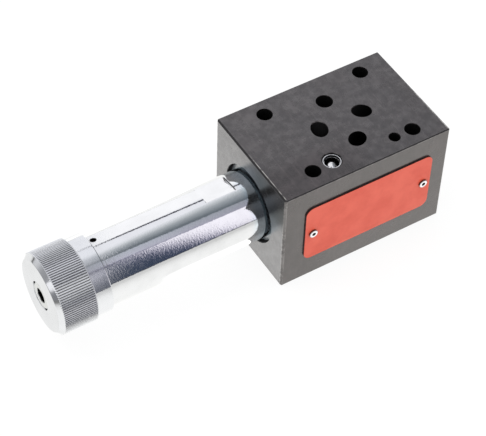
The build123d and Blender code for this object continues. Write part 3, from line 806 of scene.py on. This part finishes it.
def rivet_points(settings, across):
    """Drive rivet with a flat button head and a round eye; across is its place along X.

    The surface is (across + r sin a, y, height + r cos a), where (y, r) runs along the outline from the
    eye's floor out over the head and down the shank, and a runs round.
    """
    low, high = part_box("plate_rivets")
    under, top = plate_low.y, low.y
    head, eye, shank = settings.head_radius, settings.eye_radius, 1.0 * MM
    eye_floor, sides = top + 1.2 * MM, 96
    outline = rounded([
        (eye_floor, 0.25 * eye, 0.0),
        (eye_floor, eye, 0.02 * MM),
        (top + 0.03 * MM, eye, 0.05 * MM),
        (top, 0.75 * head, 0.2 * MM),
        (top + 0.12 * MM, head, 0.14 * MM),
        (under, head, 0.02 * MM),
        (under, shank, 0.02 * MM),
        (high.y, shank, 0.1 * MM),
        (high.y, 0.25 * eye, 0.0),
    ])
    outline[0, 1] = outline[-1, 1] = 0
    angle = np.linspace(0, 2 * pi, sides, endpoint=False)
    y, angle = np.meshgrid(outline[:, 0], angle, indexing="ij")
    radius = np.repeat(outline[:, 1:], angle.shape[1], 1)
    height = (low.z + high.z) / 2
    return np.stack([across + radius * np.sin(angle), y, height + radius * np.cos(angle)], -1)


def soft_lamp(name, place, target, size, share):
    """Square soft lamp that gives a white face under it the share of light asked for."""
    light = bpy.data.lights.new(name, "AREA")
    light.shape = "SQUARE"
    light.size = size
    offset = target - place
    light.energy = share * pi ** 2 * offset.length_squared
    lamp = bpy.data.objects.new(name, light)
    lamp.location = place
    lamp.rotation_euler = offset.to_track_quat("-Z", "Y").to_euler()
    lamp.visible_glossy = False
    bpy.context.scene.collection.objects.link(lamp)


def floor_finish():
    """Matt pale floor, white where the camera sees it but for soft shadows.

    Bright metal sees it darker out in front, dark far out on the left, brightest beside the block's left
    face, and not at all beyond its front edge, where the room's dark foot begins.
    """
    material, tree = new_finish("pale_floor")
    x, y, _ = tree.parts(tree.place())
    span, front_edge = tree.span, -0.39
    rays = tree.add("ShaderNodeLightPath").outputs
    clear = tree.most(rays["Is Camera Ray"], rays["Is Transmission Ray"])
    lit = tree.add("ShaderNodeBsdfDiffuse", {"Color": (0.8, 0.8, 0.8, 1)})
    faint = tree.add("ShaderNodeBsdfDiffuse", {"Color": (0.14, 0.14, 0.14, 1)})
    white = tree.add("ShaderNodeEmission", {"Color": (1, 1, 1, 1), "Strength": 0.90})
    shown = tree.add("ShaderNodeAddShader", {0: faint.outputs[0], 1: white.outputs[0]})
    # Seen only in reflections: below_knob is a painted shadow of the knob, beside a painted pool of light
    # by the block's left face
    away = span(y, -0.02, -0.16, 1.06, 0.72) * span(x, -0.42, -0.17, 0.30, 1.0)
    below_knob = span(x, -0.114, -0.120) * span(y, -0.016, -0.006)
    beside = span(x, -0.030, -0.038) * span(x, -0.075, -0.060) * span(y, -0.026, -0.016)
    before = span(x, -0.025, -0.008) * span(y, -0.020, -0.024) * span(y, -0.085, -0.070)
    glow = away - below_knob * 0.13 + beside * 0.64 + before * 0.10
    mirrored = tree.add("ShaderNodeEmission", {"Color": (1, 1, 0.985, 1), "Strength": glow})
    gone = tree.add("ShaderNodeBsdfTransparent")
    mirrored = tree.shaders(y < front_edge, mirrored, gone)
    seen = tree.shaders(clear, lit, shown)
    shader = tree.shaders(rays["Is Glossy Ray"], seen, mirrored)
    tree.add("ShaderNodeOutputMaterial", {"Surface": shader.outputs[0]})
    return material


def studio_world(ambient):
    """White room that bright metal sees in stripes.

    The stripes lie along X: rise is the angle of a direction up from the front, 90 straight up and 180 at
    the back. They lean by lean degrees with the direction's x, as stripes not quite along X do,
    and towards the back they lean by back degrees more. depth is how far a direction lies in the dark card.
    """
    world = bpy.data.worlds.new("studio")
    world.use_nodes = True
    tree = Tree(world.node_tree)
    span, steady = tree.span, partial(tree.span, smooth=False)
    direction = tree.add("ShaderNodeTexCoord").outputs["Generated"]
    x, y, z = tree.parts(direction)
    rise = tree.math("ARCTAN2", z, y * -1.0) * (180 / pi)
    lean = steady(x, 0.2, 0.45, -5.0, 10.0)
    back = (steady(x, 0.2, 0.45, 11.3, -17.1) - lean) * steady(rise, 74.0, 104.0)
    leaning = rise + (lean + back)
    room = tree.gradient(leaning, -10, 190, [
        (53.2, (0.92, 0.88, 1.0)),
        (53.8, (0.26, 0.26, 0.36)),
        (54.8, (0.26, 0.26, 0.36)),
        (55.4, (0.54, 0.54, 0.64)),
        (72.2, (0.49, 0.52, 0.59)),
        (73.4, (0.14, 0.165, 0.19)),
        (77.5, (0.175, 0.20, 0.225)),
        (82.5, (0.27, 0.30, 0.33)),
        (88.5, (0.39, 0.42, 0.45)),
        (94.5, (0.60, 0.63, 0.66)),
        (100.5, (0.82, 0.84, 0.88)),
        (106.5, (0.93, 0.94, 0.99)),
        (122.0, (0.92, 0.93, 0.98)),
        (130.0, (1.10, 1.10, 1.12)),
    ])
    inner = span(leaning, 54.5, 55.5) * span(leaning, 75.0, 72.5)
    fade = steady(x, 0.282, 0.352, 1.12, 0.72)
    grey = tree.add("ShaderNodeCombineXYZ", {0: fade, 1: fade, 2: fade}).outputs[0]
    room = tree.vector("MULTIPLY", room, tree.mix(inner, (1, 1, 1), grey))

    line = abs(rise + steady(x, 0.2, 0.45, -3.3, 6.3) - 126.0)
    over_block = span(x, 0.362, 0.38) * span(rise, 131.5, 126.0, 0.0, 0.25)
    depth = (53.8 - leaning) * 0.5 - (x - 0.3079) * 540.0
    card = tree.gradient(depth, -10, 30, [
        (-10, (1.08, 1.05, 1.13)),
        (-3, (1.00, 0.97, 1.06)),
        (5, (0.46, 0.44, 0.55)),
        (9, (0.145, 0.155, 0.235)),
        (14.5, (0.054, 0.070, 0.118)),
        (23, (0.044, 0.060, 0.100)),
    ])
    beside_knob = tree.gradient(rise, 0, 190, [
        (3.8, (0.23, 0.235, 0.26)),
        (13.8, (0.29, 0.295, 0.325)),
        (23.8, (0.42, 0.42, 0.46)),
        (35.0, (0.55, 0.55, 0.60)),
        (45.0, (0.53, 0.53, 0.58)),
        (50.5, (0.40, 0.40, 0.44)),
        (53.0, (0.17, 0.17, 0.20)),
        (56.0, (0.20, 0.20, 0.23)),
        (59.0, (0.35, 0.355, 0.39)),
        (73.8, (0.34, 0.35, 0.38)),
        (80.0, (0.58, 0.59, 0.63)),
        (90.0, (0.62, 0.63, 0.67)),
        (100.5, (0.90, 0.91, 0.95)),
    ])
    inputs = {0: direction, 1: (-0.372, -0.45, 0.81)}
    from_spot = tree.add("ShaderNodeVectorMath", inputs, operation="DISTANCE").outputs["Value"]
    spot = tree.mix(span(from_spot, 0.22, 0.34), (0.03, 0.03, 0.035), (0.97, 0.97, 1.0))
    behind = tree.ramp(y, [
        (0.12, (0.37, 0.375, 0.39)),
        (0.25, (0.322, 0.327, 0.34)),
        (0.45, (0.365, 0.37, 0.385)),
        (0.545, (0.43, 0.435, 0.45)),
        (0.635, (0.55, 0.555, 0.57)),
        (0.76, (0.71, 0.715, 0.73)),
        (0.83, (0.58, 0.585, 0.60)),
        (0.90, (0.72, 0.725, 0.74)),
    ])
    over = tree.math("ARCSINE", z) * (180 / pi)
    ahead = tree.mix(span(over, 8.5, 13.0), (0.24, 0.245, 0.26), (1.0, 1.0, 1.02))
    left_wall = tree.mix(span(y, 0.07, 0.11), ahead, behind)
    room = tree.coats(
        room,
        (span(line, 3.0, 1.8), (0.07, 0.07, 0.09)),
        (over_block, (0, 0, 0)),
        (span(leaning, 53.3, 53.6, 1.0, 0.0), card),
        (span(x, 0.2812, 0.2785), beside_knob),
        (span(rise, -2.4, -1.6, 1.0, 0.0), (0.06, 0.065, 0.085)),
        (span(x, 0.20, 0.10) * span(rise, 44.0, 52.0), spot),
        (span(x, 0.52, 0.62), (0.16, 0.16, 0.17)),
        (span(x, -0.45, -0.62), left_wall),
    )
    rays = tree.add("ShaderNodeLightPath").outputs
    clear = tree.most(rays["Is Camera Ray"], rays["Is Transmission Ray"])
    even = (ambient, ambient, ambient)
    light = tree.coats(even, (rays["Is Glossy Ray"], room), (clear, (1, 1, 1)))
    background = tree.add("ShaderNodeBackground", {"Color": light, "Strength": 1.0})
    tree.add("ShaderNodeOutputWorld", {"Surface": background.outputs[0]})
    return world


class VALVE_OT_block(bpy.types.Operator):
    """Finishes the ported block in dark phosphated steel"""

    bl_idname = "valve.block"
    bl_label = "Ported block"

    def execute(self, context):
        dress("valve_body", phosphated_steel(context.scene.valve_block))
        return {"FINISHED"}


class VALVE_OT_sleeve(bpy.types.Operator):
    """Makes the turned sleeve with its flats and index hole, and finishes its seal"""

    bl_idname = "valve.sleeve"
    bl_label = "Adjuster sleeve"

    def execute(self, context):
        settings = context.scene.valve_sleeve
        painted_shade = partial(sleeve_painted_shade, settings=settings)
        zinc = zinc_plate("zinc_plate", settings.colour, 0.04, 0.07, 0.008 * MM, 0.0008 * MM, painted_shade)
        sleeve = surface("turned_sleeve", sleeve_points(settings), zinc, "housing")
        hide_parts("adjuster_sleeve")
        dress("sleeve_seal", seal_rubber(context.scene.valve_trim.rubber))
        return {"FINISHED"}


class VALVE_OT_knob(bpy.types.Operator):
    """Makes the knurled knob and finishes the screw in its face"""

    bl_idname = "valve.knob"
    bl_label = "Knurled knob"

    def execute(self, context):
        settings = context.scene.valve_knob
        painted_shade = partial(knurl_painted_shade, settings=settings)
        zinc = zinc_plate("zinc_plate_knob", settings.colour, 0.08, 0.14, 0.005 * MM, 0.001 * MM, painted_shade)
        knob = surface("knurled_knob", knob_points(settings), zinc, "knob", radians(24))
        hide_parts("adjusting_knob")
        dress("knob_screw", screw_steel(settings.screw_colour))
        return {"FINISHED"}


class VALVE_OT_channel_plug(bpy.types.Operator):
    """Finishes the press-in plug of the front passage"""

    bl_idname = "valve.channel_plug"
    bl_label = "Channel plug"

    def execute(self, context):
        colour = context.scene.valve_trim.plug
        dress("channel_plug_cup", plug_steel(colour))
        dress("channel_plug_ball", plain_metal("ball_steel", colour, 0.12, 0.001 * MM))
        return {"FINISHED"}


class VALVE_OT_plate(bpy.types.Operator):
    """Paints the bare plate and makes its rivets"""

    bl_idname = "valve.plate"
    bl_label = "Plate and rivets"

    def execute(self, context):
        settings = context.scene.valve_plate
        dress("name_plate", red_paint(settings))
        metal = rivet_metal(settings)
        low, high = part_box("plate_rivets")
        inset = (high.z - low.z) / 2
        for name, across in (("left_rivet", low.x + inset), ("right_rivet", high.x - inset)):
            rivet = surface(name, rivet_points(settings, across), metal, "housing")
            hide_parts("plate_rivets")
        return {"FINISHED"}


class VALVE_OT_gauge_plug(bpy.types.Operator):
    """Finishes the socket plug of the gauge port and its seal"""

    bl_idname = "valve.gauge_plug"
    bl_label = "Gauge plug"

    def execute(self, context):
        colour = context.scene.valve_knob.screw_colour
        dress("gauge_plug", plain_metal("gauge_plug_steel", colour, 0.28, 0.003 * MM))
        dress("gauge_plug_seal", seal_rubber(context.scene.valve_trim.rubber))
        return {"FINISHED"}


class VALVE_OT_port_seals(bpy.types.Operator):
    """Finishes the four ring seals of the lower face"""

    bl_idname = "valve.port_seals"
    bl_label = "Port seals"

    def execute(self, context):
        rubber = seal_rubber(context.scene.valve_trim.rubber)
        for port in "pabt":
            dress("port_seal_" + port, rubber)
        return {"FINISHED"}


class VALVE_OT_inner_works(bpy.types.Operator):
    """Makes the spring in two halves, and finishes the spool, the seats, the ball and the spindle"""

    bl_idname = "valve.inner_works"
    bl_label = "Inner works"

    def execute(self, context):
        settings = context.scene.valve_trim
        ground = plain_metal("ground_steel", settings.ground, 0.25, 0.002 * MM, stretch=(1, 0.05, 0.05))
        dress("spindle_seal", seal_rubber(settings.rubber))
        for node in ("control_spool", "spool_spring_seat", "adjuster_spring_seat", "thrust_ball"):
            dress(node, ground)
        dress("adjusting_spindle", ground)
        steel = plain_metal("spring_steel", settings.spring, 0.35, 0.003 * MM)
        low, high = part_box("pressure_spring")
        middle, past = (low.x + high.x) / 2, 0.25 * settings.wire
        halves = (("spring_knob_half", low.x - past, middle, low.x, "adjuster"),
                  ("spring_spool_half", middle, high.x + past, high.x, "spool"))
        for name, first, last, end, body in halves:
            half = surface(name, spring_points(settings, first, last), steel)
            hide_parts("pressure_spring")
            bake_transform(half)
        return {"FINISHED"}


class VALVE_OT_stage(bpy.types.Operator):
    """Sets the pale floor, the soft light and the camera"""

    bl_idname = "valve.stage"
    bl_label = "Stage"

    def execute(self, context):
        settings = context.scene.valve_stage
        scene = context.scene
        if settings.show_floor:
            half = settings.floor_size / 2
            mesh = bpy.data.meshes.new("floor")
            corners = [(-half, -half, 0), (half, -half, 0), (half, half, 0), (-half, half, 0)]
            mesh.from_pydata(corners, [], [(0, 1, 2, 3)])
            mesh.materials.append(floor_finish())
            floor = bpy.data.objects.new("floor", mesh)
            scene.collection.objects.link(floor)
        scene.world = studio_world(settings.ambient)
        middle = (cad_box[0] + cad_box[1]) / 2
        soft_lamp("soft_lamp", middle + Vector((-0.25, 0.30, 0.75)), middle, 0.6, settings.lamp)
        camera_data = bpy.data.cameras.new("camera")
        camera_data.sensor_width = 36.0
        camera_data.lens = settings.lens
        camera_data.clip_start = 0.01
        camera = bpy.data.objects.new("camera", camera_data)
        # Where the photo was taken from, fitted to the holes of the port pattern
        stand = (-0.26111, -0.34453, 0.48622)
        right = Vector((0.85284, -0.52169, 0.02238))
        up = Vector((0.38078, 0.65067, 0.65699))
        turn = Matrix((right, up, right.cross(up))).transposed().to_4x4()
        camera.matrix_world = Matrix.Translation(stand) @ turn
        scene.collection.objects.link(camera)
        scene.camera = camera
        scene.view_settings.view_transform = "Standard"
        return {"FINISHED"}


steps = (
    VALVE_OT_block,
    VALVE_OT_sleeve,
    VALVE_OT_knob,
    VALVE_OT_channel_plug,
    VALVE_OT_plate,
    VALVE_OT_gauge_plug,
    VALVE_OT_port_seals,
    VALVE_OT_inner_works,
    VALVE_OT_stage,
)
groups = {
    "valve_block": BlockSettings,
    "valve_sleeve": SleeveSettings,
    "valve_knob": KnobSettings,
    "valve_plate": PlateSettings,
    "valve_trim": TrimSettings,
    "valve_stage": StageSettings,
}


class VALVE_PT_sidebar(bpy.types.Panel):
    """Sizes and colours of the valve, with a button for each group of pieces"""

    bl_idname = "VALVE_PT_sidebar"
    bl_label = "Sandwich valve"
    bl_space_type = "VIEW_3D"
    bl_region_type = "UI"
    bl_category = "Valve"

    def draw(self, context):
        for step in steps:
            self.layout.operator(step.bl_idname)
        for name, group in groups.items():
            box = self.layout.box()
            for key in group.__annotations__:
                box.prop(getattr(context.scene, name), key)


classes = (*groups.values(), *steps, VALVE_PT_sidebar)


def register():
    for item in classes:
        bpy.utils.register_class(item)
    for name, group in groups.items():
        setattr(bpy.types.Scene, name, PointerProperty(type=group))


def unregister():
    for name in groups:
        delattr(bpy.types.Scene, name)
    for item in reversed(classes):
        bpy.utils.unregister_class(item)


def main():
    register()
    bpy.ops.valve.block()
    bpy.ops.valve.sleeve()
    bpy.ops.valve.knob()
    bpy.ops.valve.channel_plug()
    bpy.ops.valve.plate()
    bpy.ops.valve.gauge_plug()
    bpy.ops.valve.port_seals()
    bpy.ops.valve.inner_works()
    bpy.ops.valve.stage()


if __name__ == "__main__":
    main()
